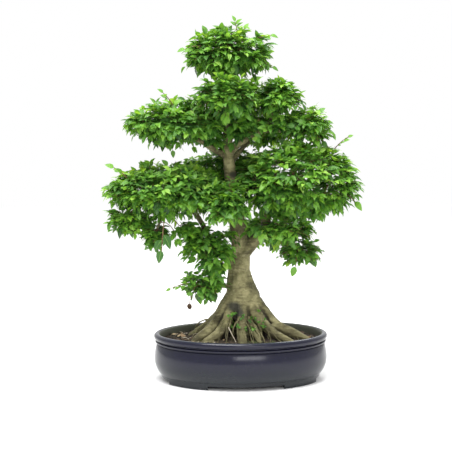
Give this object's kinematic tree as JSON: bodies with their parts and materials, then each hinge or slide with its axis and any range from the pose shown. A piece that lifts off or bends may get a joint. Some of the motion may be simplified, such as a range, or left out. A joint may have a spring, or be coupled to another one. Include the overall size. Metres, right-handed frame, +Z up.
{
  "type": "bonsai tree in a pot",
  "caption": "Broadleaf bonsai with a flared trunk, spreading surface roots and layered pads of small leaves, in a low oval glazed pot with four feet.",
  "frame": {"origin": "middle of the whole object's footprint box, on the plane that the pot's four feet rest on", "axes": "+Z up, X along the pot's length, +Y away from the side the tree is viewed from"},
  "size_m": [0.5795, 0.3639, 0.8082],
  "materials": {
    "indigo_glaze": "gloss",
    "black_plastic": "matte",
    "dark_soil": "matte",
    "grey_brown_bark": "matte",
    "green_leaves": "satin"
  },
  "bodies": {
    "root": {"base_sprouts": "green_leaves", "branch_crown_back": "grey_brown_bark", "branch_crown_front": "grey_brown_bark", "branch_left_spray": "grey_brown_bark", "branch_low_right": "grey_brown_bark", "branch_lower_back": "grey_brown_bark", "branch_lower_left": "grey_brown_bark", "branch_lower_left_hanging": "grey_brown_bark", "branch_lower_left_tip": "grey_brown_bark", "branch_lowest_left": "grey_brown_bark", "branch_middle_back": "grey_brown_bark", "branch_middle_right": "grey_brown_bark", "branch_middle_right_low": "grey_brown_bark", "branch_trunk_front": "grey_brown_bark", "branch_upper_back": "grey_brown_bark", "branch_upper_left": "grey_brown_bark", "branch_upper_right": "grey_brown_bark", "branch_upper_right_inner": "grey_brown_bark", "drainage_screen_left": "black_plastic", "drainage_screen_right": "black_plastic", "leaves_crown": "green_leaves", "leaves_crown_back": "green_leaves", "leaves_crown_front": "green_leaves", "leaves_left_spray": "green_leaves", "leaves_low_right": "green_leaves", "leaves_lower_back": "green_leaves", "leaves_lower_left": "green_leaves", "leaves_lower_left_hanging": "green_leaves", "leaves_lower_left_tip": "green_leaves", "leaves_lowest_left": "green_leaves", "leaves_middle_back": "green_leaves", "leaves_middle_right": "green_leaves", "leaves_middle_right_low": "green_leaves", "leaves_trunk_front": "green_leaves", "leaves_upper_back": "green_leaves", "leaves_upper_left": "green_leaves", "leaves_upper_right_inner": "green_leaves", "leaves_upper_right_outer": "green_leaves", "pot": "indigo_glaze", "soil": "dark_soil", "trunk": "grey_brown_bark"}
  },
  "joints": []
}
